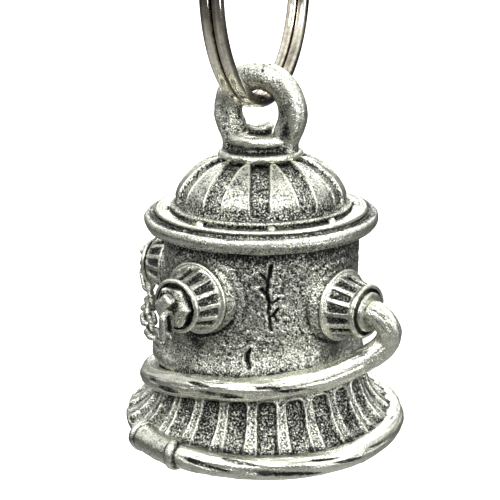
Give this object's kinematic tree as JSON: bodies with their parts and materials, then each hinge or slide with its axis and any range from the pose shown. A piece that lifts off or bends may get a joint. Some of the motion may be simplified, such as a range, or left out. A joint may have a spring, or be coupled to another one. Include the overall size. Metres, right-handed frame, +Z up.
{
  "type": "hydrant-shaped hanging bell",
  "caption": "Small cast pewter bell shaped like a fire hydrant with a wound hose, hung by its loop on a split ring, with a clapper inside.",
  "frame": {"origin": "the inner surface of the split ring at its top, where it hangs from a hook or strap", "axes": "+Z up along the hanging bell's axis, -Y towards the bell's front, the side with the cracked barrel between the two front outlets"},
  "size_m": [0.0289, 0.0289, 0.0575],
  "materials": {
    "pewter_bright": "cast pewter, rubbed bright over a dark antiquing",
    "pewter_antiqued": "cast pewter, stippled and antiqued dark",
    "ring_nickel": "bright nickel-plated spring steel",
    "clapper_wire": "plain plated steel"
  },
  "bodies": {
    "split_ring": {"split_ring": "ring_nickel"},
    "bell": {"barrel": "pewter_antiqued", "base_skirt": "pewter_antiqued", "bonnet": "pewter_bright", "bonnet_ledge": "pewter_bright", "flange_ring": "pewter_bright", "neck_ring": "pewter_bright", "top_boss": "pewter_bright", "operating_nut": "pewter_bright", "hanging_loop": "pewter_bright", "outlet_front_left": "pewter_antiqued", "outlet_right": "pewter_antiqued", "outlet_back_right": "pewter_antiqued", "outlet_back_left": "pewter_antiqued", "collar_front_left": "pewter_bright", "collar_right": "pewter_bright", "collar_back_right": "pewter_bright", "collar_back_left": "pewter_bright", "cap_nut_front_left": "pewter_bright", "cap_nut_back_right": "pewter_bright", "cap_nut_back_left": "pewter_bright", "hose_ferrule": "pewter_bright", "hose": "pewter_bright", "coupling_band_front": "pewter_bright", "coupling_sleeve": "pewter_bright", "coupling_band_end": "pewter_bright", "clapper_staple": "clapper_wire", "bonnet_bolt_1": "pewter_bright", "bonnet_bolt_2": "pewter_bright", "bonnet_bolt_3": "pewter_bright", "bonnet_bolt_4": "pewter_bright", "bonnet_bolt_5": "pewter_bright", "bonnet_bolt_6": "pewter_bright", "bonnet_bolt_7": "pewter_bright", "bonnet_bolt_8": "pewter_bright", "chain_link_1": "pewter_bright", "chain_link_2": "pewter_bright", "chain_link_3": "pewter_bright", "chain_link_4": "pewter_bright", "chain_link_5": "pewter_bright", "chain_link_6": "pewter_bright", "chain_link_7": "pewter_bright", "chain_link_8": "pewter_bright", "chain_link_9": "pewter_bright", "chain_link_10": "pewter_bright", "chain_link_11": "pewter_bright", "chain_link_12": "pewter_bright", "chain_link_13": "pewter_bright"},
    "clapper_link": {"clapper_link": "clapper_wire"},
    "clapper": {"clapper": "clapper_wire"}
  },
  "joints": [
    {"name": "bell_swing", "type": "hinge", "parent": "split_ring", "child": "bell", "pos_m": [0, 0, -0.02333], "axis": [0.4384, 0.8988, 0], "range_deg": [-65, 65]},
    {"name": "link_swing", "type": "hinge", "parent": "bell", "child": "clapper_link", "pos_m": [0, 0, -0.0317], "axis": [0.4384, 0.8988, 0], "range_deg": [-17, 17]},
    {"name": "clapper_swing", "type": "hinge", "parent": "clapper_link", "child": "clapper", "pos_m": [0, 0, -0.03352], "axis": [0.8988, -0.4384, 0], "range_deg": [-8, 8]}
  ]
}
